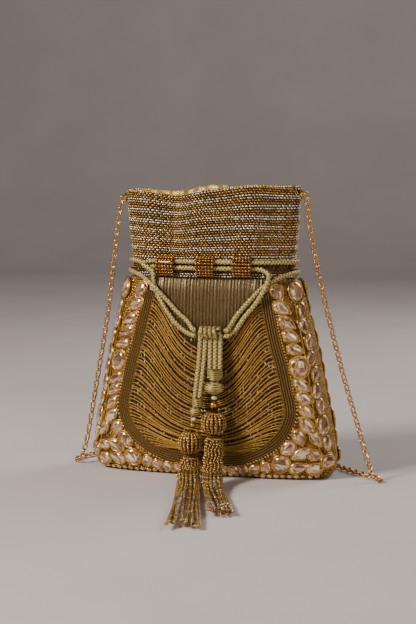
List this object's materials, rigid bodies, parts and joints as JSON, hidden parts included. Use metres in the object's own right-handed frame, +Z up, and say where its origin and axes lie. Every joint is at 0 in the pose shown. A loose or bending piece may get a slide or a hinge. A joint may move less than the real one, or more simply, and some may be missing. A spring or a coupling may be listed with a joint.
{
  "type": "potli bag",
  "caption": "Beaded gold potli bag with a drawcord neck, peach crystal borders, bead tassels and a chain sling",
  "frame": {"origin": "centre of the flat base, on the surface the bag stands on", "axes": "+X to the bag's right as seen from the front, the front faces -Y, +Z up"},
  "size_m": [0.2487, 0.2605, 0.2188],
  "materials": {
    "gold_tissue": "silvery gold woven tissue with a soft metallic sheen",
    "board": "plain grey stiffening board",
    "bugle_beads": "rows of glossy gold and silver-mauve glass beads",
    "satin": "pale gold crinkled satin",
    "zari_cord": "dark antique gold coil cords laid side by side",
    "crystal": "peach faceted crystals in gold bezels",
    "swag_strands": "fine antique gold thread strands over silvery sequins",
    "amber_beads": "glossy amber seed beads",
    "drawcord": "flat braided pale khaki gold cord",
    "thread_wrap": "wound pale gold thread",
    "pearl": "small glossy pale beads",
    "bezel_gold": "polished gold",
    "tassel_beads": "strings of glossy gold seed and bugle beads",
    "chain_metal": "polished rose gold curb links"
  },
  "bodies": {
    "root": {"back_panel": "gold_tissue", "base_board": "board", "base_panel": "gold_tissue", "chain_ring_left": "bezel_gold", "chain_ring_right": "bezel_gold", "cord_loop_1": "amber_beads", "cord_loop_2": "amber_beads", "cord_loop_3": "amber_beads", "cord_loop_4": "amber_beads", "cord_loop_5": "amber_beads", "drawcord_knot": "drawcord", "drawcord_left": "drawcord", "drawcord_right": "drawcord", "front_panel": "gold_tissue", "left_gusset": "gold_tissue", "lining": "satin", "neck_band": "bugle_beads", "right_gusset": "gold_tissue", "sling_chain": "chain_metal", "stone_border_back": "crystal", "stone_border_front": "crystal", "swag_fringe": "swag_strands", "tail_cord_1": "drawcord", "tail_cord_2": "drawcord", "tail_cord_3": "drawcord", "tail_cord_4": "drawcord", "tail_cord_5": "drawcord", "tassel_ball_left": "thread_wrap", "tassel_ball_right": "thread_wrap", "tassel_bead_left": "bezel_gold", "tassel_bead_right": "bezel_gold", "tassel_head_left": "tassel_beads", "tassel_head_right": "tassel_beads", "tassel_pearl_left": "pearl", "tassel_pearl_right": "pearl", "tassel_skirt_left": "tassel_beads", "tassel_skirt_right": "tassel_beads", "tassel_wrap_left": "thread_wrap", "tassel_wrap_right": "thread_wrap", "zari_border": "zari_cord"}
  },
  "joints": []
}
